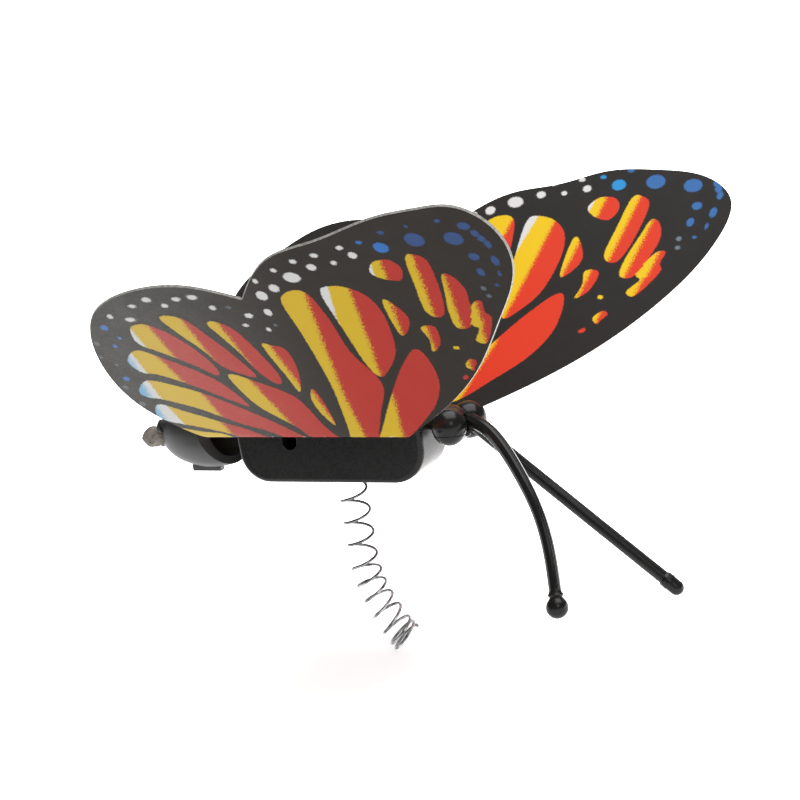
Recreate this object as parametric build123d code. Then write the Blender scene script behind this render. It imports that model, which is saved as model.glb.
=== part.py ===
"""Spring-mounted fluttering butterfly: printed film wings, moulded body, coil spring.

Frame: millimetres, +X towards the head, +Y the butterfly's left, +Z up.
The origin is the lower end of the spring, where a stake or a clip holds it.
"""
import os
from math import atan, cos, pi, radians, sin

from build123d import *

# ---- driving dimensions -------------------------------------------------------------
film_z = 24.5            # height of the wing film's mid-plane
film_t = 0.25            # film thickness
crease_y = 5.5           # distance of each wing fold from the body's centre plane
fold_gap = 0.15          # clear strip beside each fold line
film_x = -5.5            # X of the film's own centre
right_flap = 58.5        # rest angle of each wing above the horizontal, degrees
left_flap = 42.6
left_twist = 6.0         # nose-down tilt of the left fold, degrees

tub_rear = -15.8         # housing tub under the film
tub_front = 6.85
tub_width = 6.0
tub_depth = 5.75
tub_wall = 0.7
notch_x = -9.1           # locating notch in the tub's right rim
notch_w = 1.8
notch_h = 2.0

spring_x = -4.0          # spring axis where it enters the tub
spring_r = 1.47          # mean coil radius
wire_d = 0.3
wire_gap = 0.12          # clear length of wire between two stretches that move
bend_height = 10.0       # the spring curves forward below this height
coil_tilt = 0.45         # rise of the lowest coils towards the left, per length across
coil_phase = 207.8       # direction of the wire at phase_height, degrees
phase_height = 15.9

peg_r = 1.1
hole_r = 2.0             # spring hole in the tub floor
pin_x = (-12.6, 4.2)     # heat-staked pins through the film, rear and front
pin_r = 0.6

tail_x = -26.4           # flat end of the abdomen
abdomen_z = 23.0
head_x = 8.9
head_roll = 7.5          # the head leans to the butterfly's left, degrees
part_line = 0.95         # the head's two halves meet this far below the eyes' centres
eye_x = 10.0
eye_y = 2.3
eye_z = 24.5
eye_r = 1.88
antenna_r = 0.64
ball_r = {-1: 1.15, 1: 0.8}

# Half of the film's outline as (forward, sideways) from the film's centre.
hindwing_edge = {
    -1: [(-12.5, 5.5), (-18.4, 11.4), (-19.6, 18.0), (-16.8, 25.0), (-10.2, 28.5), (-3.4, 28.9), (2.3, 26.9)],
    1: [(-12.5, 5.5), (-18.4, 11.4), (-19.6, 18.0), (-15.6, 24.7), (-12.7, 27.3), (-3.4, 28.9), (2.3, 26.9)],
}
forewing_edge = {
    -1: [(2.3, 26.9), (4.6, 29.8), (8.0, 32.6), (13.5, 34.4), (22.0, 37.4), (27.0, 38.3),
         (30.5, 38.4), (33.1, 36.6), (34.3, 33.0), (30.0, 23.4), (24.0, 15.2), (12.5, 5.5)],
    1: [(2.3, 26.9), (5.0, 30.2), (10.0, 34.0), (15.0, 35.5), (20.0, 37.6), (26.0, 38.3),
        (32.0, 37.7), (35.3, 35.0), (35.2, 30.5), (31.0, 22.0), (25.0, 15.0), (12.5, 5.5)],
}
waist = 10.3             # half length of the film where it crosses the body

film_top = film_z + film_t / 2
film_low = film_z - film_t / 2
tub_floor = film_low - tub_depth


# ---- helpers ------------------------------------------------------------------------
def ellipsoid(centre, half_x, half_y, half_z):
    """A solid ellipsoid about a centre."""
    return Pos(*centre) * scale(Sphere(1.0), by=(half_x, half_y, half_z))


def rod(points, radius):
    """A round rod along a smooth curve through the points."""
    path = Spline(*points)
    section = Plane(origin=path @ 0, z_dir=path % 0) * Circle(radius)
    return sweep(section, path=path)


def slab(x0, x1, y0, y1, z0, z1):
    """A rectangular block between two corners."""
    return Pos((x0 + x1) / 2, (y0 + y1) / 2, (z0 + z1) / 2) * Box(x1 - x0, y1 - y0, z1 - z0)


# ---- wing film ----------------------------------------------------------------------
def wing(side, flap, twist):
    """One wing: the film outline outboard of the fold, in the plane of the raised wing."""
    along = Vector(cos(radians(twist)), 0, -sin(radians(twist)))
    level = Vector(0, side, 0)
    lift = Vector(sin(radians(twist)), 0, cos(radians(twist)))
    outward = level * cos(radians(flap)) + lift * sin(radians(flap))
    plane = Plane(origin=(film_x, side * crease_y, film_z), x_dir=along, z_dir=along.cross(outward))
    hind = Spline(*[(u, v - crease_y) for u, v in hindwing_edge[side]])
    fore = Spline(*[(u, v - crease_y) for u, v in forewing_edge[side]])
    root = Line(fore @ 1, hind @ 0)
    sheet = make_face(Curve() + [hind, fore, root])
    sheet -= Rectangle(60, 2 * fold_gap)
    return extrude(plane * sheet, amount=film_t / 2, both=True)


def film_waist():
    """The strip of film across the body, its left flank twisted down to the left fold."""
    edge = crease_y - fold_gap
    reach = waist + 2.2
    plan = make_face(Curve() + [
        ThreePointArc((film_x - reach, -edge), (film_x - waist, 0), (film_x - reach, edge)),
        Line((film_x - reach, edge), (film_x + reach, edge)),
        ThreePointArc((film_x + reach, edge), (film_x + waist, 0), (film_x + reach, -edge)),
        Line((film_x + reach, -edge), (film_x - reach, -edge)),
    ])
    flat_edge = tub_width / 2 + 0.3
    flat = slab(film_x - 20, film_x + 20, -edge, flat_edge, film_low, film_top)
    flank = loft([flank_section(-reach, flat_edge, edge), flank_section(reach, flat_edge, edge)],
                 ruled=True)
    strip = (flat + flank) & extrude(Pos(0, 0, film_z - 5) * plan, amount=10)
    for x in pin_x:
        strip -= Pos(x, 0, film_z) * Cylinder(pin_r + 0.05, 2)
    strip -= Pos(spring_x, 0, film_z) * Cylinder(peg_r + 0.05, 2)
    return strip


def flank_section(forward, inner, outer):
    """Cross-section of the twisted left flank at a distance forward of the film's centre."""
    drop = -forward * sin(radians(left_twist))
    x = film_x + forward
    outline = Polyline((x, inner, film_low), (x, outer, film_low + drop),
                       (x, outer, film_top + drop), (x, inner, film_top), close=True)
    return make_face(outline)


# ---- body mouldings -----------------------------------------------------------------
def tub_profile(inset=0.0):
    """Side view of the tub, or of its hollow, with a rounded rear end and a larger round at the front."""
    low = tub_floor
    rear, front = tub_rear + 0.3, tub_front - 0.1
    outline = Polyline((tub_rear, film_low), (rear, low), (front, low), (tub_front, film_low), close=True)
    profile = make_face(Plane.XZ * outline)
    for x, radius in ((rear, 3.3), (front, 4.0)):
        corner = min(profile.vertices(), key=lambda vertex: abs(vertex.X - x) + abs(vertex.Z - low))
        profile = fillet(corner, radius)
    return offset(profile, -inset) if inset else profile


def housing_tub():
    """Open-topped tub with a locating notch, two bosses and a hole for the spring."""
    tub = extrude(tub_profile(), amount=tub_width / 2, both=True)
    rim = tub.faces().sort_by(Axis.Z)[-1]
    sides = [edge for edge in tub.edges()
             if abs(abs(edge.center().Y) - tub_width / 2) < 0.01 and edge not in rim.edges()]
    tub = fillet(sides, 0.5)
    half = tub_width / 2 - tub_wall
    hollow = extrude(tub_profile(tub_wall), amount=half, both=True)
    hollow += slab(tub_rear + 1.0, tub_front - 1.2, -half, half, film_low - 2.0, film_z + 1)
    for x in pin_x:
        hollow -= slab(x - 1.3, x + 1.3, -tub_width, tub_width, 0, film_z + 2)
    tub -= hollow
    notch = slab(notch_x - notch_w / 2, notch_x + notch_w / 2, -tub_width, -half + 0.1,
                 film_low - notch_h + notch_w / 2, film_z + 1)
    notch += (Pos(notch_x, -tub_width / 2, film_low - notch_h + notch_w / 2)
              * Rot(90, 0, 0) * Cylinder(notch_w / 2, 2.0))
    tub -= notch
    tub -= Pos(spring_x, 0, tub_floor) * Cylinder(hole_r, 4)
    for x in pin_x:
        tub -= Pos(x, 0, film_low) * Cylinder(pin_r, 4)
    return tub


def thorax_cover():
    """Ridge-backed cover that clamps the film to the tub."""
    length = 21.0
    ridge = ellipsoid(((tub_rear + tub_front) / 2 + 0.3, 0, film_top - 0.4), length / 2, 2.7, 2.9)
    cover = ridge & slab(-40, 40, -5, 5, film_top, film_top + 5)
    segment_count = 5
    for i in range(segment_count):
        x = tub_rear + 3.6 + i * 3.4
        groove = Pos(x, 0, film_top) * Rot(0, 90, 0) * Torus(2.95, 0.16)
        cover -= groove
    for x in pin_x:
        cover -= Pos(x, 0, film_top) * Cylinder(pin_r, 2.0)
    cover -= Pos(spring_x, 0, film_top) * Cylinder(peg_r, 3.0)
    return cover


def heat_stake_pin(x):
    """Headed pin that ties cover, film and tub together."""
    return Pos(x, 0, film_top - 1.0) * Cylinder(pin_r, 3.6) & slab(-40, 40, -5, 5, film_low - 1.9, film_top + 0.9)


def spring_peg():
    """Round peg that carries the spring's closed top coils inside the tub."""
    top = film_top + 1.4
    bottom = tub_floor + 1.6
    peg = Pos(spring_x, 0, (top + bottom) / 2) * Cylinder(peg_r, top - bottom)
    return chamfer(peg.faces().sort_by(Axis.Z)[0].edges(), 0.3)


def on_head(solid):
    """Leans a solid of the head about the body's long axis."""
    return Pos(0, 0, eye_z) * Rot(-head_roll, 0, 0) * Pos(0, 0, -eye_z) * solid


def below_part_line():
    """The space under the plane in which the head's two halves meet."""
    return slab(-5, 20, -8, 8, 0, eye_z - part_line)


def head_shell():
    """Upper half of the head with sockets for the eyes, joined to the cover by a neck."""
    skull = ellipsoid((head_x, 0, film_z + 0.2), 1.9, 2.1, 1.6)
    neck_rear = film_x + waist + 0.2
    neck = Pos((neck_rear + head_x) / 2, 0, film_z + 0.3) * Rot(0, 90, 0) * Cylinder(1.1, head_x - neck_rear)
    neck -= slab(neck_rear - 1, tub_front + 0.05, -3, 3, film_z - 3, film_top)
    neck -= thorax_cover()
    root = ellipsoid((eye_x + 0.8, 0, eye_z), 1.5, 1.2, 0.9)
    shell = on_head(skull + root - below_part_line()) + neck
    shell -= lower_head()
    for side in (-1, 1):
        shell -= eye(side)
        shell -= antenna(side)
    return shell


def lower_head():
    """Lower half of the head: the undersides of both eyes, a mouth between them and a small nub in front."""
    mouth = ellipsoid((head_x + 0.3, 0, eye_z - part_line), 1.6, 2.4, 1.2)
    for side in (-1, 1):
        mouth += ellipsoid((eye_x, side * eye_y, eye_z), eye_r, eye_r, 2.1)
    nub = Pos(eye_x + 0.95, -0.2, eye_z - 1.1) * Sphere(0.38)
    return on_head((mouth & below_part_line()) + nub - Pos(eye_x, 0, eye_z) * Box(6, 6, 2 * part_line - 0.02))


def eye(side):
    """Ball eye, cut flat where it rests on the lower half of the head."""
    return on_head(Pos(eye_x, side * eye_y, eye_z) * Sphere(eye_r) - below_part_line())


def antenna(side):
    """Drooping feeler with a ball end: the right one curves down, the left one is straight and has less of a ball."""
    if side < 0:
        points = [(11.7, -0.4, 24.8), (13.8, -1.5, 24.3), (17.9, -4.0, 21.0), (21.5, -6.8, 15.7), (23.2, -9.4, 7.9)]
    else:
        points = [(11.7, 0.4, 23.9), (13.6, 1.4, 21.5), (21.0, 2.8, 14.1), (30.2, 4.2, 5.2)]
    return rod(points, antenna_r) + Pos(*points[-1]) * Sphere(ball_r[side])


def tail_socket():
    """Short round stub at the upper rear of the abdomen."""
    return Pos(-25.6, 0, abdomen_z + 1.0) * Rot(0, 90, 0) * Cylinder(0.88, 3.0)


def abdomen_shell():
    """Hollow abdomen behind the tub, open at its front like a cup."""
    body = ellipsoid((-20.9, 0, abdomen_z), 6.05, 2.6, 3.45)
    body = body & slab(tail_x, -17.1, -5, 5, 0, 40)
    body -= ellipsoid((-18.4, 0, abdomen_z - 0.15), 4.6, 1.6, 2.15)
    mouth = Plane(origin=(-17.3, 0.5, abdomen_z - 3.4), z_dir=(0.8, -0.5, 0.33))
    body -= mouth * (Pos(0, 0, 6) * Box(16, 16, 12))
    gate = slab(-23.6, -20.0, -0.4, 0.4, abdomen_z - 3.9, abdomen_z - 2.9)
    bridge = ellipsoid((-18.2, 0, film_top), 3.5, 1.5, 1.6) & slab(-40, 40, -5, 5, film_top, 40)
    body -= slab(-18.6, -10, -5, 5, film_low - 0.3, film_top)
    eyelet = Pos(tail_x, 0, abdomen_z + 1.0) * Rot(90, 0, 0) * Cylinder(0.34, 4)
    return body + gate + bridge + tail_socket() - eyelet


def tail_tip():
    """Round knob against the flat end of the abdomen."""
    length = 3.3
    knob = Pos(tail_x - length / 2, 0, abdomen_z - 0.15) * Rot(0, 90, 0) * Cylinder(1.15, length)
    return fillet(knob.edges().sort_by(Axis.X)[0], 0.9) - tail_socket()


# ---- spring -------------------------------------------------------------------------
def spring_axis(z):
    """X of the spring's centre line and its lean: straight above, curving forward below."""
    bend = max(0.0, 1.0 - z / bend_height)
    lean = atan(2 * spring_x * bend / bend_height)
    return spring_x * (1.0 - bend ** 2), -lean


def coils(z0, z1, pitch, phase):
    """Round wire wound right-handed between two heights; phase is its direction at z0."""
    turns = (z1 - z0) / pitch
    steps = max(8, round(turns * 12))
    trim = wire_gap / (4 * pi * spring_r * turns)
    points = []
    for i in range(steps + 1):
        t = trim + (1 - 2 * trim) * i / steps
        z = z0 + (z1 - z0) * t
        angle = phase + 2 * pi * turns * t
        x, lean = spring_axis(z)
        reach, across = spring_r * cos(angle), spring_r * sin(angle)
        tilt = coil_tilt * max(0.0, 1.0 - z / bend_height)
        points.append((x + reach * cos(lean), across, z + reach * sin(lean) + across * tilt))
    path = Spline(*points)
    section = Plane(origin=path @ 0, z_dir=path % 0) * Circle(wire_d / 2)
    return sweep(section, path=path), phase + 2 * pi * turns


def spring_nodes():
    """The one spring, split where it bends so that each stretch can move by itself."""
    stretches = [
        ("spring_grip_coils", 0.2, 1.2, 0.5),
        ("spring_lower_coils", 1.2, 8.3, 1.6),
        ("spring_middle_coils", 8.3, 13.3, 2.5),
        ("spring_upper_coils", 13.3, 18.3, 2.5),
        ("spring_entry_coil", 18.3, 20.8, 2.5),
        ("spring_peg_coils", 20.8, 22.3, 0.5),
    ]
    below = sum((min(z1, phase_height) - z0) / pitch for _, z0, z1, pitch in stretches if z0 < phase_height)
    phase = radians(coil_phase) - 2 * pi * below
    nodes = {}
    for name, z0, z1, pitch in stretches:
        nodes[name], phase = coils(z0, z1, pitch, phase)
    return nodes


# ---- export -------------------------------------------------------------------------
nodes = {
    "right_wing": wing(-1, right_flap, 0.0),
    "left_wing": wing(1, left_flap, left_twist),
    "film_waist": film_waist(),
    "housing_tub": housing_tub(),
    "thorax_cover": thorax_cover(),
    "rear_pin": heat_stake_pin(pin_x[0]),
    "front_pin": heat_stake_pin(pin_x[1]),
    "spring_peg": spring_peg(),
    "head_shell": head_shell(),
    "lower_head": lower_head(),
    "right_eye": eye(-1),
    "left_eye": eye(1),
    "right_antenna": antenna(-1),
    "left_antenna": antenna(1),
    "abdomen_shell": abdomen_shell(),
    "tail_tip": tail_tip(),
}
nodes.update(spring_nodes())

os.makedirs("parts", exist_ok=True)
for name, solid in nodes.items():
    export_step(solid, f"parts/{name}.step")
    box = solid.bounding_box()
    print(f"{name:22s} {len(solid.solids())} solid  {solid.volume:9.3f} mm3  "
          f"{tuple(round(v, 2) for v in box.min)} {tuple(round(v, 2) for v in box.max)}")
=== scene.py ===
"""Looks of the spring-mounted butterfly: printed film wings, moulded black body, bright coil spring.

Shapes are worked out in millimetres in the part's own frame; MM turns them into Blender's metres.
Film coordinates are u, forward from the film's centre, and v, sideways from the body's centre plane.
"""
from math import cos, pi, radians, sin

import bpy
import numpy as np
from mathutils import Matrix, Vector
from mathutils.geometry import delaunay_2d_cdt


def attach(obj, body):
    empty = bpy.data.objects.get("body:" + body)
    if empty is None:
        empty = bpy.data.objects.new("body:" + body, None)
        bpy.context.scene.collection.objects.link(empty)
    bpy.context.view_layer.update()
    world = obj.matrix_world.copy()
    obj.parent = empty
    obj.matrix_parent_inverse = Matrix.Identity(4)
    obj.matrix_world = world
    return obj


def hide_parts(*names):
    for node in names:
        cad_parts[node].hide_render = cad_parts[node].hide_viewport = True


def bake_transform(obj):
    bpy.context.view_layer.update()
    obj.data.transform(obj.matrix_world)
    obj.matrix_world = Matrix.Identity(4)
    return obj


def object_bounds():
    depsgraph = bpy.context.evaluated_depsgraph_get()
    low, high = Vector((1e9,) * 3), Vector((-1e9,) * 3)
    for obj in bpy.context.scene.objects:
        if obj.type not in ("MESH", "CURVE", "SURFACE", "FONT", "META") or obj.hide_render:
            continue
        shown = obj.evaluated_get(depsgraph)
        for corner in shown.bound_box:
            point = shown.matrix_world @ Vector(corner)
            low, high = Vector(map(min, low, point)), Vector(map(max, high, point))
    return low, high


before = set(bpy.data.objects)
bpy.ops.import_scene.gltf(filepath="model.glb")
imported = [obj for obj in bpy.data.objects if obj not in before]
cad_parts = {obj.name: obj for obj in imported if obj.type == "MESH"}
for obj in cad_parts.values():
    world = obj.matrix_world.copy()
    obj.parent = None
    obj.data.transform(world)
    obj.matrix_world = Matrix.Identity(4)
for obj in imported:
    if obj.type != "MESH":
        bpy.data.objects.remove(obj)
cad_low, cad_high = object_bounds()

MM = 0.001
RIGHT, LEFT = -1, 1

# ---- driving dimensions, as in the part ---------------------------------------------
film_x = -5.5            # X of the film's own centre
film_z = 24.5            # height of the film's mid-plane
film_t = 0.25            # film thickness
rim_inset = 0.11         # the cut edge slopes in by this much to the film's lower face
crease_y = 5.5           # distance of each wing fold from the centre plane
flat_y = 3.3             # the left flank of the film starts to twist here
fold_r = 0.5             # softness of the folds
waist = 10.3             # half length of the film across the body
waist_flare = 2.2        # the waist grows by this much at each end on its way to a fold
wave_height = 0.12       # each wing is not quite flat: a slow wave along it, stronger towards its tip
wave_run = 9.0           # the wave's length over two pi
wave_reach = 20.0        # the wave is full this far out from the fold
flap = {RIGHT: 58.5, LEFT: 42.6}
twist = {RIGHT: 0.0, LEFT: 6.0}
grid = 0.25

hindwing_edge = {
    RIGHT: [(-12.5, 5.5), (-18.4, 11.4), (-19.6, 18.0), (-16.8, 25.0), (-10.2, 28.5), (-3.4, 28.9),
            (2.3, 26.9)],
    LEFT: [(-12.5, 5.5), (-18.4, 11.4), (-19.6, 18.0), (-15.6, 24.7), (-12.7, 27.3), (-3.4, 28.9),
           (2.3, 26.9)],
}
forewing_edge = {
    RIGHT: [(2.3, 26.9), (4.6, 29.8), (8.0, 32.6), (13.5, 34.4), (22.0, 37.4), (27.0, 38.3),
            (30.5, 38.4), (33.1, 36.6), (34.3, 33.0), (30.0, 23.4), (24.0, 15.2), (12.5, 5.5)],
    LEFT: [(2.3, 26.9), (5.0, 30.2), (10.0, 34.0), (15.0, 35.5), (20.0, 37.6), (26.0, 38.3),
           (32.0, 37.7), (35.3, 35.0), (35.2, 30.5), (31.0, 22.0), (25.0, 15.0), (12.5, 5.5)],
}

spring_x = -4.0          # spring axis where it enters the tub
spring_r = 1.47          # mean coil radius
wire_r = 0.16
bend_height = 10.0       # the spring curves forward below this height
coil_tilt = 0.45         # rise of the lowest coils towards the left, per length across
coil_phase = 207.8       # direction of the wire at phase_height, degrees
phase_height = 15.9
spring_knots = [(0.2, 0.5), (1.2, 1.6), (8.3, 2.5), (20.8, 0.5), (22.3, 0.5)]   # height, pitch above it

feeler_r = 0.64
feeler_step = 0.25       # length of each part of a feeler's mesh
feeler_sides = 48
ball_r = {RIGHT: 1.15, LEFT: 0.8}
knob_length = 1.6        # the left feeler ends in a short straight knob this long
root_growth = 0.2        # the right feeler is thicker at its root by this share
root_length = 14.0       # and thins out over this length
collar_height = 0.22     # the ring where a feeler meets its ball
collar_width = 0.18
feeler_path = {
    RIGHT: [(11.7, -0.4, 24.8), (13.8, -1.5, 24.3), (17.9, -4.0, 21.0), (21.5, -6.8, 15.7),
            (23.2, -9.4, 7.9)],
    LEFT: [(11.7, 0.4, 23.9), (13.6, 1.4, 21.5), (21.0, 2.8, 14.1), (30.2, 4.2, 5.2)],
}
tail_x = -26.4           # flat end of the abdomen
tail_z = 22.85
knob_r = 1.12
knob_depth = 3.5


# ---- curves and meshes --------------------------------------------------------------
def smooth_line(points, step):
    """Points about a step apart on the natural cubic curve through the given points."""
    knots = np.array(points, float)
    gaps = np.linalg.norm(np.diff(knots, axis=0), axis=1)
    place = np.concatenate([[0.0], np.cumsum(gaps)])
    count = len(knots)
    system = np.eye(count)
    right = np.zeros_like(knots)
    for i in range(1, count - 1):
        system[i, i - 1:i + 2] = gaps[i - 1], 2 * (gaps[i - 1] + gaps[i]), gaps[i]
        right[i] = 6 * ((knots[i + 1] - knots[i]) / gaps[i] - (knots[i] - knots[i - 1]) / gaps[i - 1])
    bend = np.linalg.solve(system, right)
    at = np.linspace(0, place[-1], max(2, round(place[-1] / step) + 1))
    k = np.clip(np.searchsorted(place, at, "right") - 1, 0, count - 2)
    gap = gaps[k][:, None]
    after = (at - place[k])[:, None]
    before = gap - after
    return ((bend[k] * before ** 3 + bend[k + 1] * after ** 3) / (6 * gap)
            + (knots[k] / gap - bend[k] * gap / 6) * before
            + (knots[k + 1] / gap - bend[k + 1] * gap / 6) * after)


def closed_curve(points, parts=6):
    """A smooth closed loop through the points, with a number of parts between neighbours."""
    here = np.array(points, float)
    before, after, beyond = np.roll(here, 1, 0), np.roll(here, -1, 0), np.roll(here, -2, 0)
    t = np.linspace(0, 1, parts, endpoint=False)[:, None, None]
    loop = 0.5 * (2 * here + (after - before) * t + (2 * before - 5 * here + 4 * after - beyond) * t ** 2
                  + (3 * here - before - 3 * after + beyond) * t ** 3)
    return loop.transpose(1, 0, 2).reshape(-1, 2)


def inside_distance(points, loop):
    """Distance of each point from a loop, above zero inside it."""
    nearest = np.full(len(points), 1e9)
    inside = np.zeros(len(points), bool)
    for a, b in zip(loop, np.roll(loop, -1, 0)):
        side = b - a
        share = np.clip(((points - a) @ side) / (side @ side), 0, 1)
        nearest = np.minimum(nearest, np.linalg.norm(points - a - share[:, None] * side, axis=1))
        if a[1] != b[1]:
            crosses = (a[1] > points[:, 1]) != (b[1] > points[:, 1])
            inside ^= crosses & (points[:, 0] < a[0] + (points[:, 1] - a[1]) * side[0] / side[1])
    return np.where(inside, nearest, -nearest)


def make_piece(name, points_mm, faces, materials, sharp=40):
    """A smooth-shaded mesh object from points in millimetres."""
    mesh = bpy.data.meshes.new(name)
    mesh.from_pydata([tuple(p) for p in np.asarray(points_mm) * MM], [], faces)
    mesh.polygons.foreach_set("use_smooth", [True] * len(mesh.polygons))
    mesh.set_sharp_from_angle(angle=radians(sharp))
    for material in materials:
        mesh.materials.append(material)
    piece = bpy.data.objects.new(name, mesh)
    bpy.context.scene.collection.objects.link(piece)
    return piece


def store(mesh, name, values):
    """Keeps a number, or a triple, for each vertex of a mesh."""
    values = np.asarray(values, np.float32)
    if values.ndim == 1:
        mesh.attributes.new(name, "FLOAT", "POINT").data.foreach_set("value", values)
    else:
        mesh.attributes.new(name, "FLOAT_VECTOR", "POINT").data.foreach_set("vector", values.ravel())


def sweep(path, outline):
    """Points and faces of a closed section carried along a path without twist, with flat ends.

    outline(i) gives the section at the path's point i as (sideways, upward) pairs.
    """
    path = np.asarray(path, float)
    heading = np.gradient(path, axis=0)
    heading /= np.linalg.norm(heading, axis=1)[:, None]
    side = np.cross(heading[0], (0.0, 0.0, 1.0))
    points = []
    for i, (centre, ahead) in enumerate(zip(path, heading)):
        side = side - ahead * (side @ ahead)
        side /= np.linalg.norm(side)
        up = np.cross(side, ahead)
        section = np.asarray(outline(i))
        points.append(centre + section[:, :1] * side + section[:, 1:] * up)
    n = len(points[0])
    faces = [list(range(n))[::-1], [n * (len(path) - 1) + j for j in range(n)]]
    for i in range(len(path) - 1):
        for j in range(n):
            k = (j + 1) % n
            faces.append([n * i + j, n * i + k, n * (i + 1) + k, n * (i + 1) + j])
    return np.concatenate(points), faces


def circle(radius, sides):
    """The corners of a round section."""
    turn = np.arange(sides) * 2 * pi / sides
    return np.stack([radius * np.cos(turn), radius * np.sin(turn)], axis=1)


# ---- material nodes -----------------------------------------------------------------
class Finish:
    """A material and a short way to write its nodes."""

    def __init__(self, name):
        self.material = bpy.data.materials.new(name)
        self.material.use_nodes = True
        self.tree = self.material.node_tree
        self.shader = self.tree.nodes["Principled BSDF"]

    def put(self, socket, value):
        """Sets a socket to a number or colour, or links it to another socket."""
        if isinstance(value, bpy.types.NodeSocket):
            self.tree.links.new(value, socket)
        elif isinstance(value, tuple) and len(value) == 3 and socket.type == "RGBA":
            socket.default_value = (*value, 1.0)
        else:
            socket.default_value = value

    def node(self, kind, inputs=(), **settings):
        """Adds a node; inputs is a dict of socket name or number to value."""
        made = self.tree.nodes.new("ShaderNode" + kind)
        for key, value in settings.items():
            setattr(made, key, value)
        for key, value in dict(inputs).items():
            self.put(made.inputs[key], value)
        return made

    def set(self, **values):
        """Sets the shader's own sockets; an underscore in a name stands for a space."""
        for key, value in values.items():
            self.put(self.shader.inputs[key.replace("_", " ")], value)

    def stored(self, name):
        """A number kept on the mesh."""
        return self.node("Attribute", attribute_name=name).outputs["Fac"]

    def place(self, name=None):
        """Where a point is: on the mesh, or as kept on it under a name."""
        if name:
            return self.node("Attribute", attribute_name=name).outputs["Vector"]
        return self.node("TexCoord").outputs["Object"]

    def noise(self, place, size_mm, detail=3.0, rough=0.5):
        """Soft noise from about 0 to 1, with grains of a size."""
        return self.node("TexNoise", {"Vector": place, "Scale": 1 / (size_mm * MM), "Detail": detail,
                                      "Roughness": rough}).outputs["Fac"]

    def math(self, operation, a, b=0.0, c=0.0):
        """One arithmetic step."""
        return self.node("Math", {0: a, 1: b, 2: c}, operation=operation).outputs[0]

    def ramp(self, value, low, high, to_low=0.0, to_high=1.0):
        """A smooth step from to_low to to_high as the value goes from low to high."""
        return self.node("MapRange", {"Value": value, "From Min": low, "From Max": high, "To Min": to_low,
                                      "To Max": to_high}, interpolation_type="SMOOTHSTEP").outputs["Result"]

    def mix(self, share, first, second):
        """A colour between two colours."""
        made = self.node("Mix", {0: share}, data_type="RGBA")
        self.put(made.inputs[6], first)
        self.put(made.inputs[7], second)
        return made.outputs[2]

    def bump(self, height, depth_mm, below=None):
        """The shader's normal, raised by a height; below is another bump's normal."""
        made = self.node("Bump", {"Height": height, "Strength": 1.0, "Distance": depth_mm * MM})
        if below is not None:
            self.put(made.inputs["Normal"], below)
        return made.outputs["Normal"]


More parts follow.
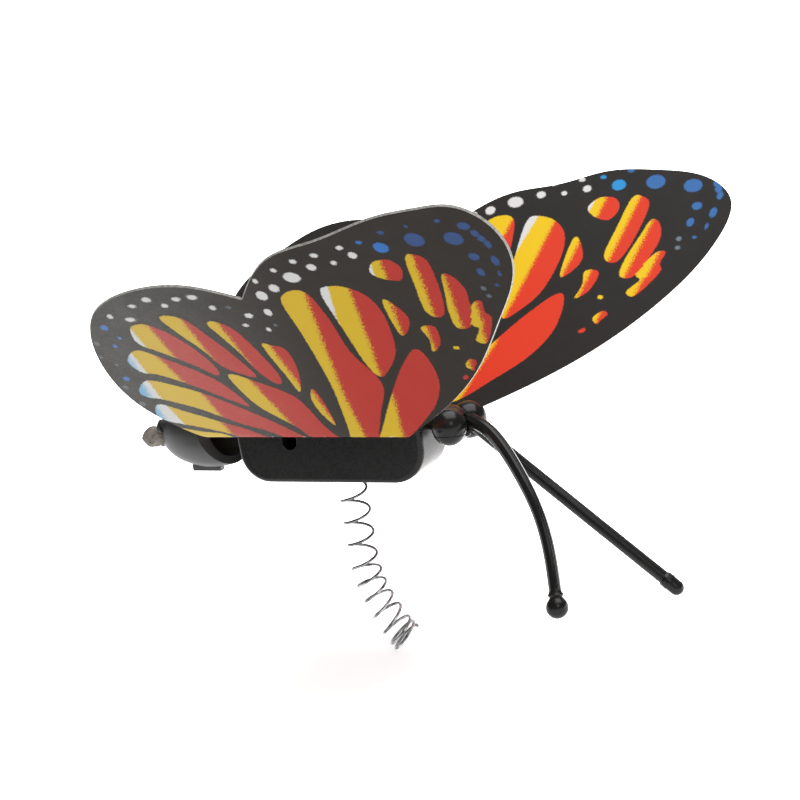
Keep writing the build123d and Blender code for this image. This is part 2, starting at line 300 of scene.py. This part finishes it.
# ---- the print on the film ----------------------------------------------------------
# Each cell: its outline, then lines in the print, each by its points (u, v) from the body outward.
# Ahead of the red line the cell is red; behind the white line white; behind the blue line blue.
cells = [
    dict(outline=[(-15, 7.1), (-12.2, 6.6), (-9.6, 6.1), (-9, 4.2), (-12.6, 4.4)]),
    dict(outline=[(-16.8, 9.2), (-15.7, 11.1), (-12.6, 9.8), (-9.2, 8.2), (-6.1, 6.7), (-3.5, 4.2),
                  (-7, 4.2), (-8.8, 6.1), (-12.4, 7.4), (-15.6, 8.3)],
         red=[(-8.4, 4), (-9.4, 9)], white=[(-14, 8), (-14.8, 11)], blue=[(-16, 8), (-16.1, 11)]),
    dict(outline=[(-17.1, 13.2), (-15.2, 14.9), (-12, 14), (-8.6, 12.4), (-4, 9.2), (-0.8, 6.4),
                  (0.8, 4.2), (-1.6, 4.3), (-3.6, 6.4), (-7, 8), (-11, 10.4), (-14.8, 11.9),
                  (-16.4, 12.2)],
         red=[(-8.6, 8), (-9.4, 13)], white=[(-14.7, 11), (-15.2, 15)], blue=[(-16, 11), (-16.1, 15)]),
    dict(outline=[(-16.1, 18), (-14.2, 19.6), (-11.8, 18.5), (-8.2, 16.2), (-6, 14), (-4.5, 10.8),
                  (-6.2, 11.6), (-10.2, 14.2), (-13.4, 15.8), (-15.3, 16.2)],
         red=[(-10.6, 14), (-12.2, 19)], white=[(-14.6, 16), (-15, 19)], blue=[(-15.5, 16), (-15.7, 19)]),
    dict(outline=[(-13.6, 21.6), (-13, 23.2), (-11, 23.5), (-8.6, 21.8), (-6.6, 19), (-5.7, 16.4),
                  (-6.3, 15.6), (-8.2, 17.2), (-11.4, 19.3), (-13.2, 20.4)],
         red=[(-9.9, 18), (-10.9, 23.5)], white=[(-12.7, 20), (-13.2, 23)]),
    dict(outline=[(-8.9, 24.4), (-7.8, 24.8), (-6, 24.1), (-4.6, 22), (-2.8, 18.8), (-1.5, 15.6),
                  (-2.4, 15.4), (-4.8, 16.9), (-6, 19.4), (-7.8, 22.2)],
         red=[(-5.5, 18), (-6.4, 24.5)]),
    dict(outline=[(-3.6, 23.4), (-2.7, 23.8), (-1, 22.7), (0.2, 20), (1.2, 16.3), (1.2, 14.5), (0.4, 14.2),
                  (-0.9, 16), (-1.9, 19.2), (-3, 21.8)],
         red=[(-1.4, 17.5), (-2.3, 23.5)]),
    dict(outline=[(1.4, 20), (2.6, 20), (3.8, 19.5), (4.1, 17.6), (3.6, 15), (2.6, 12.9), (2.2, 15)],
         red=[(3.2, 13), (2.3, 20)]),
    dict(outline=[(-4.9, 15.4), (-4.1, 15.7), (-2, 14.6), (0.8, 12.9), (2.1, 11.4), (3.1, 7.8),
                  (4.3, 4.3), (1.4, 4.3), (-0.2, 7.2), (-3.2, 10.4), (-4.4, 13)],
         red=[(-0.8, 8), (-2.6, 15)]),
    dict(outline=[(4.4, 13.4), (4.8, 11.4), (4.7, 7.8), (4.2, 8.2), (3.6, 10), (3.6, 12)],
         red=[(4.7, 7.5), (4.1, 13.5)]),
    dict(outline=[(6.6, 25.9), (7.4, 27.4), (9.2, 27.9), (10.3, 26.9), (11, 23.2), (11.3, 18.8), (12.9, 14),
                  (11, 9.8), (9, 5.8), (8.4, 4.2), (5.5, 4.2), (6.1, 8), (6.9, 14), (6.9, 21.4)],
         red=[(7.3, 4), (7.8, 13), (8.9, 21), (9.9, 28)]),
    dict(outline=[(11.7, 27.5), (12.3, 28.2), (14.6, 28.1), (16.6, 26.6), (17.3, 23.6), (16.5, 18.9),
                  (14.2, 15.7), (13, 15.2), (12.3, 17.2), (11.9, 22), (11.6, 26)],
         red=[(13.3, 15.5), (14, 20), (15, 28)], white=[(11.7, 23), (12.8, 28.2)]),
    dict(outline=[(18.4, 18.9), (19.5, 18.2), (19.6, 14.6), (17.9, 11), (14.6, 7.5), (11.2, 4.4),
                  (8.5, 4.3), (10.2, 7.4), (13.2, 12.2), (15.8, 16)],
         red=[(11.6, 4.3), (12.4, 8), (13.4, 12)]),
    dict(outline=[(17.9, 25.8), (18.6, 26), (19.8, 23.8), (19.3, 22.1), (18.1, 21), (17.8, 23)],
         red=[(18.2, 21), (18.8, 26)]),
    dict(outline=[(18.3, 30), (19.2, 31.4), (21, 31.6), (21.9, 30.4), (21.2, 28.8), (19.4, 29)],
         red=[(19.7, 28.5), (20, 31.7)], white=[(18.5, 29), (18.8, 31)]),
    dict(outline=[(22.9, 31.8), (24, 32.2), (25.1, 31.2), (24.9, 27.6), (24.2, 24.4), (23.2, 23.5),
                  (22.1, 24.4), (22.4, 28)],
         red=[(22.8, 23.5), (23.8, 32.2)]),
    dict(outline=[(25.9, 29.4), (27, 29), (27.6, 27), (26.9, 24), (26, 22), (24.6, 22.1), (24.6, 24.2),
                  (25.3, 27.2)],
         red=[(25.2, 22), (26.1, 29.4)]),
    dict(outline=[(20.6, 22), (21.6, 22.4), (22.3, 21.9), (21.9, 19.8), (20.6, 18.6), (20.9, 20.4)],
         red=[(20.9, 18.5), (21.3, 22.4)]),
    dict(outline=[(27.8, 25.5), (28.7, 25.6), (28.5, 24.1), (28.9, 23.3), (28, 21.2), (26.9, 19.7),
                  (26, 20.2), (27, 21.8), (26.4, 22.4), (27.1, 24.4)],
         red=[(27, 19.7), (27.3, 22), (27.6, 22.3), (28, 25.5)]),
    dict(outline=[(23.2, 19.4), (23.7, 19.3), (23.6, 18.9), (23.1, 19)]),
    dict(outline=[(23.4, 16.5), (24.2, 17.5), (24.9, 17.2), (24.4, 16.4), (24.1, 15.8)],
         red=[(23.9, 15.5), (24, 17.5)]),
    dict(outline=[(22.3, 14.7), (22.9, 15.2), (23.1, 14.8), (22.6, 14.5)], red=[(21, 14), (21, 15)]),
]
# Spots: u, v, width along u, height along v.
white_spots = [
    (16.4, 33.5, .8, .6), (17.4, 32.4, 1, .9), (14.9, 31.5, .7, .6), (13.2, 32.6, .9, .6),
    (12.2, 31, 1.1, .9), (10.5, 31.9, .8, .6), (9.4, 29.7, 1.9, 1.4), (7.8, 30.8, .7, .6),
    (6.7, 28.3, 1.2, 1.1), (5, 29.4, .6, .7),
    (4.8, 27.3, 1.3, 1.3), (4.4, 24.9, .9, 1), (3.3, 22.4, .6, .6), (1.9, 24.5, 1, .7), (.9, 23.1, .7, .5),
    (-1.8, 25.8, .8, .7), (-3.5, 27.4, 1.2, .7), (-5.5, 27.2, 1.1, .6), (-7.3, 26.3, .8, .6),
    (-9.1, 27.2, 1.1, .7), (-11.3, 26.3, 1, .5), (-12.5, 24.3, 1.3, .6), (-14.8, 24.8, .7, .7),
]
pale_spots = [
    (4.4, 23, .5, .4), (0.1, 25.8, .7, .4), (29.6, 27.4, .6, .6), (29.8, 26.3, .6, .5),
    (-18.6, 20.7, .7, .7), (-19.2, 18.6, .5, .6), (-17.8, 17.4, .5, .4), (-18.5, 13.8, .7, .6),
    (-17.7, 11.2, .8, .7),
]
bright_spots = [
    (20.9, 33.3, 1.6, 1.4), (18.8, 34.1, .7, .5), (-16.4, 23.1, .9, .8), (-15.3, 21.5, .5, .5),
    (-16.5, 20.3, .6, .5), (-17.7, 15.2, .8, .7),
]
deep_spots = [
    (24.9, 34.2, 2.1, 1.8), (29.1, 34.2, 2, 1.7), (31.6, 34.8, .8, .9), (32, 34.1, .8, .9),
    (32.4, 33.3, .7, 1), (30.3, 31.7, 1.1, 1), (32.3, 31.1, .8, 1.3), (30.2, 29.6, .8, 1.1),
    (32.1, 29.3, .4, .8), (31.2, 27.8, .5, .4), (30.8, 35.8, 1.3, 1), (28.3, 36.6, .7, .5),
    (24.7, 36, .5, .4), (21.7, 35.3, .8, .5),
]
spot_tints = [(0, white_spots), (1, pale_spots), (2, bright_spots), (3, deep_spots)]
# The cells and spots are placed as the right wing shows them. The print is not centred between the
# folds, so the left forewing shows it further out by twice the shift.
print_shift = 1.65       # how far the print sits towards the left wing
print_turn = 0.034       # how far it is turned, as a slope
print_lift = 0.1         # the left forewing's print lies this much further out again
print_ahead = 0.27       # and this far forward
print_stretch = 0.36     # less this much halfway along the forewing
rear_shift = 0.18        # the rear of the right wing's print lies this far forward
far_off = -9.0           # a distance that means nowhere near


def ahead_of(line, u, v):
    """How far forward of a line in the print each point is."""
    line = sorted(line, key=lambda point: point[1])
    return u - np.interp(v, [point[1] for point in line], [point[0] for point in line])


def print_on(side, u, v):
    """What is printed at each film point, as named numbers: distances in millimetres and a spot's tint."""
    if side == LEFT:
        fore = np.clip((u + 6) / 10, 0, 1)
        across = v - fore * (print_shift - print_turn * u)
        stretch = print_stretch * np.sin(pi * np.clip((u - 8) / 25, 0, 1))
        u = u - print_turn * across - print_ahead + stretch
        v = across - fore * (print_shift + print_lift)
    else:
        u = u - rear_shift * np.clip(1 - u / 8, 0, 1)
    points = np.stack([u, v], axis=1)
    values = {name: np.full(len(u), far_off) for name in ("cell", "red", "white", "blue", "spot")}
    values["tint"] = np.zeros(len(u))
    for cell in cells:
        depth = inside_distance(points, closed_curve(cell["outline"]))
        nearer = depth > values["cell"]
        values["cell"][nearer] = depth[nearer]
        for name, sign in (("red", 1), ("white", -1), ("blue", -1)):
            values[name][nearer] = far_off
            if name in cell:
                reach = sign * ahead_of(cell[name], u, v)
                values[name][nearer] = reach[nearer]
    for tint, spots in spot_tints:
        for at_u, at_v, width, height in spots:
            away = np.hypot((u - at_u) * 2 / width, (v - at_v) * 2 / height)
            depth = (1 - away) * min(width, height) / 2
            nearer = depth > values["spot"]
            values["spot"][nearer] = depth[nearer]
            values["tint"][nearer] = tint
    return values


# ---- film ---------------------------------------------------------------------------
def film_place(side, u, v, height):
    """Where a film point is, in millimetres; height is above the film's mid-plane."""
    turn, lift = radians(twist[side]), radians(flap[side])
    along = np.array([cos(turn), 0.0, -sin(turn)])
    level = np.array([0.0, side, 0.0])
    outward = level * cos(lift) + np.array([sin(turn), 0.0, cos(turn)]) * sin(lift)
    past = v - crease_y
    root = np.hypot(past, fold_r)
    on_waist, on_wing = (past - root) / 2, (past + root) / 2
    twisted = np.clip(1 + on_waist / (crease_y - flat_y), 0, 1)
    share = (1 + past / root) / 2
    run = level * (1 - share[:, None]) + outward * share[:, None]
    face = side * np.cross(along, run)
    face /= np.linalg.norm(face, axis=1)[:, None]
    fold = np.array([film_x, side * crease_y, film_z]) + np.outer(u, (along[0], 0, 0))
    fold[:, 2] += u * along[2] * twisted
    return (fold + np.outer(on_waist, level) + np.outer(on_wing, outward)
            + face * np.broadcast_to(height, len(u))[:, None])


def half_film_outline(side):
    """The outline of one half of the film, from the front of the waist round the wing to its rear."""
    sag = np.linspace(0, 1, round(crease_y / grid))[:, None]
    front = np.concatenate([waist + waist_flare * sag ** 2, crease_y * sag], axis=1)
    rear = front[::-1] * (-1, 1)
    fore = smooth_line(forewing_edge[side][::-1], grid)
    hind = smooth_line(hindwing_edge[side][::-1], grid)
    middle = np.linspace(-waist, waist, round(2 * waist / grid))[1:-1]
    seam = np.stack([middle, np.zeros(len(middle))], axis=1)
    return np.concatenate([front[:-1], fore[:-1], hind[:-1], rear, seam])


def film_mesh_plan(side):
    """Points (u, v) and triangles that fill one half of the film, its outline first."""
    outline = half_film_outline(side)
    rows = np.arange(grid, outline[:, 1].max(), grid * 0.866)
    columns = np.arange(outline[:, 0].min(), outline[:, 0].max(), grid)
    u, v = np.meshgrid(columns, rows)
    u = u + (np.arange(len(rows)) % 2)[:, None] * grid / 2
    inner = np.stack([u.ravel(), v.ravel()], axis=1)
    inner = inner[inside_distance(inner, outline) > grid * 0.6]
    points = [Vector(p) for p in np.concatenate([outline, inner])]
    count = len(outline)
    loop = [(i, (i + 1) % count) for i in range(count)]
    found, _, triangles, _, _, _ = delaunay_2d_cdt(points, loop, [], 1, 1e-7)
    return np.array(found), [list(t) for t in triangles], count


def inward(loop):
    """Unit vectors that point into a counter-clockwise loop at each of its points."""
    along = np.roll(loop, -1, 0) - np.roll(loop, 1, 0)
    turned = np.stack([-along[:, 1], along[:, 0]], axis=1)
    return turned / np.linalg.norm(turned, axis=1)[:, None]


def film_half(side, name, materials):
    """One wing with its half of the waist: upper face, lower face and cut edge."""
    flat, triangles, rim = film_mesh_plan(side)
    count = len(flat)
    u, v = flat[:, 0], flat[:, 1]
    wave = wave_height * np.sin(u / wave_run + side) * np.clip((v - crease_y) / wave_reach, 0, 1) ** 2
    top = film_place(side, u, v, wave + film_t / 2)
    inset = np.zeros((count, 2))
    inset[:rim] = rim_inset * inward(flat[:rim]) * np.clip(v[:rim, None] / 2, 0, 1)
    low = film_place(side, u + inset[:, 0], v + inset[:, 1], wave - film_t / 2)
    upward = side > 0
    faces = [t if upward else t[::-1] for t in triangles]
    under = [[i + count for i in (t[::-1] if upward else t)] for t in triangles]
    edge = []
    for i in range(rim):
        k = (i + 1) % rim
        quad = [i, i + count, k + count, k]
        edge.append(quad if upward else quad[::-1])
    piece = make_piece(name, np.concatenate([top, low]), faces + under + edge, materials)
    index = [0] * len(faces) + [1] * len(under) + [2] * len(edge)
    piece.data.polygons.foreach_set("material_index", index)
    for key, values in print_on(side, u, v).items():
        store(piece.data, key, np.concatenate([values, values]))
    plane = np.stack([u, v, np.zeros(count)], axis=1) * MM
    store(piece.data, "film_place", np.concatenate([plane, plane + (0, 0, film_t * MM)]))
    store(piece.data, "fold", np.concatenate([v - crease_y] * 2))
    node = "right_wing" if side == RIGHT else "left_wing"
    fold = film_place(side, np.zeros(3), crease_y + np.array([-0.7, 0.0, 0.7]), 0.0) * MM
    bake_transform(piece)
    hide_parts(node, "film_waist")
    return piece


def printed_face(name, inks, painted_sheen, rough):
    """One printed face of the film, under a grey painted sheen whose strength at the rear and at the front
    is given as a pair.
    """
    film = Finish(name)
    place = film.place("film_place")
    grain = film.noise(place, 0.16, detail=2.0)
    dots = film.math("SUBTRACT", grain, 0.5)
    blotch = film.noise(place, 3.0, detail=4.0)

    def region(key, spread, jitter):
        edge = film.math("MULTIPLY_ADD", dots, jitter, film.stored(key))
        return film.ramp(edge, -spread, spread)

    cell = film.mix(region("red", 0.28, 1.6), inks["yellow"], inks["red"])
    cell = film.mix(region("white", 0.12, 0.8), cell, inks["white"])
    cell = film.mix(region("blue", 0.45, 2.0), cell, inks["pale"])
    ink = film.mix(region("cell", 0.07, 0.3), inks["black"], cell)
    tint = film.stored("tint")
    spot = film.mix(film.ramp(tint, 0.4, 0.6), inks["white"], inks["faint"])
    spot = film.mix(film.ramp(tint, 1.4, 1.6), spot, inks["bright"])
    spot = film.mix(film.ramp(tint, 2.4, 2.6), spot, inks["deep"])
    ink = film.mix(region("spot", 0.1, 0.3), ink, spot)
    forward = film.node("SeparateXYZ", {"Vector": place}).outputs["X"]
    # Painted sheen: grey reflected light mixed into the ink, fading from the rear of the face to its front.
    sheen_mask = film.ramp(forward, -16 * MM, 12 * MM, *painted_sheen)
    sheen_mask = film.math("MULTIPLY", sheen_mask, film.ramp(film.math("ADD", grain, blotch), 0.7, 1.3, 0.75, 1.25))
    ink = film.mix(sheen_mask, ink, (0.60, 0.60, 0.58))
    creased = film.math("ABSOLUTE", film.stored("fold"))
    worn = film.math("MULTIPLY", film.ramp(creased, 0.3, 0.1), film.ramp(film.noise(place, 1.1), 0.6, 0.68))
    ink = film.mix(worn, ink, inks["white"])
    film.set(Base_Color=ink, Roughness=film.ramp(blotch, 0.2, 0.8, rough - 0.05, rough + 0.07),
             Specular_IOR_Level=0.12)
    film.set(Normal=film.bump(grain, 0.010, film.bump(blotch, 0.03)))
    return film.material


def film_edge_finish():
    """The white core of the film, seen on its cut edge."""
    film = Finish("film_cut_edge")
    place = film.place("film_place")
    speck = film.noise(place, 0.3)
    film.set(Base_Color=film.mix(film.ramp(speck, 0.35, 0.7), (0.46, 0.45, 0.43), (0.26, 0.25, 0.23)),
             Roughness=0.6)
    film.set(Normal=film.bump(speck, 0.02))
    return film.material


def make_film():
    """Both halves of the printed film."""
    upper_inks = dict(yellow=(0.93, 0.62, 0.012), red=(0.80, 0.050, 0.018), white=(0.80, 0.80, 0.79),
                      black=(0.021, 0.019, 0.017), pale=(0.22, 0.56, 0.80), faint=(0.16, 0.22, 0.27),
                      bright=(0.03, 0.32, 0.74), deep=(0.045, 0.17, 0.46))
    # The lower face's inks: the print seen on the film's back, darkened further as painted shade for a face
    # turned down and away from the light.
    shaded_lower_inks = dict(yellow=(0.60, 0.40, 0.015), red=(0.43, 0.028, 0.018), white=(0.62, 0.62, 0.61),
                      black=(0.021, 0.016, 0.012), pale=(0.16, 0.40, 0.62), faint=(0.10, 0.12, 0.14),
                      bright=(0.03, 0.15, 0.46), deep=(0.03, 0.07, 0.20))
    materials = [printed_face("film_upper_print", upper_inks, painted_sheen=(0.01, 0.004), rough=0.40),
                 printed_face("film_lower_print_painted_shade_and_sheen", shaded_lower_inks, painted_sheen=(0.13, 0.006), rough=0.48),
                 film_edge_finish()]
    film_half(RIGHT, "right_film", materials)
    film_half(LEFT, "left_film", materials)


# ---- spring -------------------------------------------------------------------------
def spring_centre(z):
    """X of the spring's centre line and its lean: straight above, curving forward below."""
    bend = np.maximum(0.0, 1.0 - z / bend_height)
    return spring_x * (1.0 - bend ** 2), -np.arctan(2 * spring_x * bend / bend_height)


def spring_wire():
    """The centre line of the wire, its turns eased where the pitch changes."""
    heights = [height for height, _ in spring_knots]
    turns = [0.0]
    for (low, pitch), (high, _) in zip(spring_knots, spring_knots[1:]):
        turns.append(turns[-1] + (high - low) / pitch)
    per_turn = 40
    turn = np.linspace(0, turns[-1], round(turns[-1] * per_turn) + 1)
    reach = per_turn // 4
    padded = np.pad(np.interp(turn, turns, heights), reach, mode="reflect", reflect_type="odd")
    z = np.convolve(padded, np.ones(2 * reach + 1) / (2 * reach + 1), mode="valid")
    angle = radians(coil_phase) + 2 * pi * (turn - np.interp(phase_height, z, turn))
    x, lean = spring_centre(z)
    out, across = spring_r * np.cos(angle), spring_r * np.sin(angle)
    tilt = coil_tilt * np.maximum(0.0, 1.0 - z / bend_height)
    return np.stack([x + out * np.cos(lean), across, z + out * np.sin(lean) + across * tilt], axis=1), z


def wire_finish():
    """Drawn steel wire with fine grain and dull patches, with a painted highlight that makes it brighter
    towards its lower end.
    """
    wire = Finish("drawn_wire")
    place = wire.place()
    height = wire.stored("height")
    fine = wire.noise(place, 0.08, detail=2.0)
    patch = wire.noise(place, 0.9, detail=3.0)
    # Painted highlight: the lower coils get a much lighter steel colour than the upper ones.
    steel = wire.mix(wire.ramp(height, 12.0, 5.0), (0.30, 0.315, 0.33), (0.66, 0.67, 0.69))
    wire.set(Base_Color=wire.mix(wire.ramp(patch, 0.35, 0.7), steel, (0.15, 0.15, 0.155)),
             Metallic=1.0, Roughness=wire.ramp(patch, 0.3, 0.7, 0.24, 0.38))
    wire.set(Normal=wire.bump(fine, 0.004))
    return wire.material


def make_spring():
    """The wire in three stretches, each in place of two of the spring's coil nodes."""
    path, z = spring_wire()
    finish = wire_finish()
    stretches = [
        ("spring_low_wire", -1.0, 8.3, "spring_foot_coils", "spring_middle", 1.2, 8.3,
         ("spring_grip_coils", "spring_lower_coils")),
        ("spring_mid_wire", 8.3, 15.9, "spring_middle", "spring_top", 10.6, 15.8,
         ("spring_middle_coils", "spring_upper_coils")),
        ("spring_top_wire", 15.9, 30.0, "spring_top", "butterfly_body", 16.1, 20.5,
         ("spring_entry_coil", "spring_peg_coils")),
    ]
    section = circle(wire_r, 14)
    for name, low, high, below, above, start, end, nodes in stretches:
        first, last = np.searchsorted(z, (low, high))
        points, faces = sweep(path[max(first - 1, 0):last], lambda i: section)
        piece = make_piece(name, points, faces, [finish], sharp=60)
        store(piece.data, "height", points[:, 2])
        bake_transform(piece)
        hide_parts(*nodes)


# ---- body ---------------------------------------------------------------------------
def feeler_section(radius, roundness):
    """An eight-sided section with a thin ridge on two opposite sides; roundness 1 makes it a circle."""
    turn = np.arange(feeler_sides) * 2 * pi / feeler_sides
    off_flat = (turn + pi / 8) % (pi / 4) - pi / 8
    facet = np.minimum(0.955 / np.cos(off_flat), 1.0)
    ridge = 0.13 * np.exp(-(np.cos(turn) / 0.1) ** 2)
    reach = radius * (roundness + (1 - roundness) * (facet + ridge))
    return np.stack([reach * np.cos(turn), reach * np.sin(turn)], axis=1)


def make_feeler(side, material):
    """A drooping feeler; the right one ends in a ball, the left one in a small stepped knob."""
    name = "right" if side == RIGHT else "left"
    path = smooth_line(feeler_path[side], feeler_step)
    ball = ball_r[side]
    ahead = (path[-1] - path[-2]) / np.linalg.norm(path[-1] - path[-2])
    past_end = ball * np.cos(np.linspace(pi / 2, 0, 8))[1:]
    tip = path[-1] + np.outer(past_end, ahead)
    path = np.concatenate([path, tip])
    gone = np.linalg.norm(np.diff(path, axis=0), axis=1).cumsum()
    gone = np.concatenate([[0.0], gone])
    left = gone[-1] - ball - gone
    growth = root_growth if side == RIGHT else 0.0
    stem = feeler_r * (1 + growth * np.clip(1 - gone / root_length, 0, 1))
    bulge = np.sqrt(np.clip(ball ** 2 - left ** 2, 0, None))
    if side == LEFT:
        bulge = np.where(left > 0, ball * (left < knob_length), bulge)
    collar = collar_height * np.exp(-((left - ball - 0.15) / collar_width) ** 2)
    radius = np.where(left > 0, np.maximum(stem + collar, bulge), bulge)
    radius = np.maximum(radius, 0.02)
    roundness = np.clip(1.6 - left / 1.2, 0, 1)
    points, faces = sweep(path, lambda i: feeler_section(radius[i], roundness[i]))
    piece = make_piece(f"{name}_feeler", points, faces, [material], sharp=28)
    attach(piece, "butterfly_body")
    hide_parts(f"{name}_antenna")


def make_tail_knob(material):
    """The lumpy knob at the end of the abdomen, with a deep pit low on its right side."""
    rings, sides = ((80, 96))
    along = (1 - np.cos(np.linspace(0, pi, rings + 1))) / 2
    turn = np.arange(sides) * 2 * pi / sides
    share, angle = np.meshgrid(along, turn, indexing="ij")
    x = tail_x + 0.25 - knob_depth * share
    reach = knob_r * (1 - np.abs(2 * share - 1) ** 2.6) ** 0.5
    lumps = 0.07 * np.sin(3 * angle + 5 * share)
    lumps += 0.05 * np.sin(5 * angle - 9 * share + 1)
    lumps += 0.05 * np.cos(11 * share)
    pit = 0.42 * np.exp(-((share - 0.40) / 0.10) ** 2 - (np.sin((angle - 4.05) / 2) / 0.28) ** 2)
    reach = reach * (1 + lumps) - pit * (reach > 0.3)
    points = np.stack([x, reach * np.cos(angle), tail_z + reach * np.sin(angle)], axis=2).reshape(-1, 3)
    faces = []
    for i in range(rings):
        for j in range(sides):
            k = (j + 1) % sides
            faces.append([sides * i + j, sides * i + k, sides * (i + 1) + k, sides * (i + 1) + j])
    piece = make_piece("tail_knob", points, faces, [material], sharp=70)
    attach(piece, "butterfly_body")
    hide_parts("tail_tip")


def black_plastic(name, gloss, dust, shine):
    """Satin black moulded plastic: slow waves, fine grain, light dust and rubbed edges."""
    shell = Finish(name)
    place = shell.place()
    wave = shell.noise(place, 6.0, detail=2.0)
    grain = shell.noise(place, 0.22, detail=3.0)
    speck = shell.noise(place, 0.7, detail=5.0, rough=0.7)
    rounded = shell.node("Bevel", {"Radius": 0.12 * MM}, samples=4).outputs["Normal"]
    facing = shell.node("VectorMath", {0: rounded, 1: shell.node("NewGeometry").outputs["Normal"]},
                        operation="DOT_PRODUCT").outputs["Value"]
    edge = shell.math("MULTIPLY", shell.ramp(facing, 0.995, 0.9), shell.ramp(speck, 0.35, 0.65))
    dusty = shell.ramp(speck, 0.56, 0.78, 0.0, dust)
    colour = shell.mix(shell.ramp(wave, 0.3, 0.7), (0.0085, 0.0085, 0.0090), (0.0125, 0.0120, 0.0115))
    colour = shell.mix(dusty, colour, (0.35, 0.33, 0.30))
    colour = shell.mix(shell.math("MULTIPLY", edge, 0.10), colour, (0.30, 0.29, 0.28))
    rubbed = shell.math("MULTIPLY", edge, 0.15)
    rough = shell.math("ADD", shell.ramp(speck, 0.3, 0.8, gloss, gloss + 0.05), rubbed)
    shell.set(Base_Color=colour, Roughness=rough, Specular_IOR_Level=shine)
    shell.set(Normal=shell.bump(grain, 0.003, shell.bump(wave, 0.05, rounded)))
    return shell.material


def rough_plastic():
    """Grey-brown, scuffed and dusty plastic."""
    shell = Finish("scuffed_plastic")
    place = shell.place()
    pits = shell.noise(place, 0.35, detail=6.0, rough=0.65)
    cloud = shell.noise(place, 1.6, detail=3.0)
    colour = shell.mix(shell.ramp(cloud, 0.35, 0.65), (0.20, 0.172, 0.148), (0.27, 0.24, 0.21))
    colour = shell.mix(shell.ramp(pits, 0.50, 0.38, 0.0, 0.6), colour, (0.06, 0.052, 0.046))
    shell.set(Base_Color=colour, Roughness=0.62, Specular_IOR_Level=0.3)
    shell.set(Normal=shell.bump(pits, 0.05))
    return shell.material


def make_body():
    """The CAD parts that stay get their plastics; the feelers and the tail's knob are modelled here."""
    housing = black_plastic("black_housing", gloss=0.26, dust=0.008, shine=0.3)
    glossy = black_plastic("black_moulding", gloss=0.22, dust=0.02, shine=0.3)
    satin = black_plastic("black_abdomen", gloss=0.42, dust=0.06, shine=0.8)
    for name in ("housing_tub", "thorax_cover", "rear_pin", "front_pin", "spring_peg"):
        paint(name, housing)
    for name in ("head_shell", "lower_head", "right_eye", "left_eye"):
        paint(name, glossy)
    paint("abdomen_shell", satin)
    make_feeler(RIGHT, glossy)
    make_feeler(LEFT, glossy)
    make_tail_knob(rough_plastic())


def paint(name, material):
    """Gives a CAD node one material."""
    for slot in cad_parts[name].material_slots:
        slot.material = material


# ---- stage --------------------------------------------------------------------------
floor_reach = 3000
card_x = (-130, -24)
card_y = (-170, -46)


def flat_sheet(name, across, along, level, finish):
    """A level rectangle between two X values and two Y values."""
    corners = [(across[0], along[0], level), (across[1], along[0], level),
               (across[1], along[1], level), (across[0], along[1], level)]
    return make_piece(name, corners, [[0, 1, 2, 3]], [finish.material])


def make_floor():
    """A wide pale floor that glows softly, more so on the butterfly's left."""
    floor = Finish("pale_floor")
    place = floor.place()
    soft = floor.noise(place, 60.0)
    axes = floor.node("SeparateXYZ", {"Vector": place}).outputs
    near_glow = floor.ramp(axes["X"], -90 * MM, 20 * MM, 1.35, 0.5)
    glow = floor.ramp(axes["Y"], -5 * MM, 45 * MM, near_glow, 2.5)
    floor.set(Base_Color=floor.mix(soft, (0.86, 0.86, 0.86), (0.88, 0.88, 0.88)), Roughness=0.8,
              Emission_Color=(1.0, 1.0, 1.0), Emission_Strength=glow)
    level = cad_low.z / MM - 0.02
    flat_sheet("floor", (-floor_reach, floor_reach), (-floor_reach, floor_reach), level, floor)


def make_dark_card():
    """A black card low on the butterfly's right, unseen itself, that the tub's side mirrors."""
    card = Finish("black_card")
    weave = card.noise(card.place(), 2.0)
    card.set(Base_Color=card.mix(weave, (0.004, 0.004, 0.004), (0.008, 0.008, 0.008)), Roughness=0.9)
    piece = flat_sheet("dark_card", card_x, card_y, cad_low.z / MM + 0.5, card)
    piece.visible_camera = False


def softbox(name, place, target, width, height, watts):
    """A rectangular soft light that faces a point."""
    lamp = bpy.data.lights.new(name, "AREA")
    lamp.shape = "RECTANGLE"
    lamp.size, lamp.size_y = width * MM, height * MM
    lamp.energy = watts
    holder = bpy.data.objects.new(name, lamp)
    holder.visible_camera = False
    holder.location = Vector(place) * MM
    holder.rotation_euler = (Vector(target) - Vector(place)).to_track_quat("-Z", "Y").to_euler()
    bpy.context.scene.collection.objects.link(holder)


def make_lights():
    """Soft light from above, from the front right and from beyond the left wing, and a dim room."""
    centre = (0, 0, 25)
    softbox("top_light", (60, 60, 420), centre, 420, 420, 2.0)
    softbox("front_light", (260, -260, 260), centre, 160, 160, 0.25)
    softbox("back_light", (-80, 380, 160), centre, 420, 260, 0.5)
    world = bpy.data.worlds.new("room")
    world.use_nodes = True
    background = world.node_tree.nodes["Background"]
    background.inputs["Color"].default_value = (1.0, 1.0, 1.0, 1.0)
    background.inputs["Strength"].default_value = 0.12
    bpy.context.scene.world = world


def make_camera():
    """The view from the front right, a little above, rolled so that the body lies level."""
    azimuth, elevation, roll = radians(30.0), radians(14.7), radians(-8.7)
    aim, distance = Vector((5.4, -3.5, 28.0)), 310.0
    back = Vector((sin(azimuth) * cos(elevation), -cos(azimuth) * cos(elevation), sin(elevation)))
    lens = bpy.data.cameras.new("camera")
    lens.lens, lens.sensor_width = 135, 36
    lens.clip_start, lens.clip_end = 0.01, 20
    camera = bpy.data.objects.new("camera", lens)
    turn = (-back).to_track_quat("-Z", "Y").to_matrix().to_4x4() @ Matrix.Rotation(roll, 4, "Z")
    camera.matrix_world = Matrix.Translation((aim + back * distance) * MM) @ turn
    bpy.context.scene.collection.objects.link(camera)
    bpy.context.scene.camera = camera
    bpy.context.scene.view_settings.view_transform = "Standard"


make_film()
make_spring()
make_body()
make_floor()
make_dark_card()
make_lights()
make_camera()
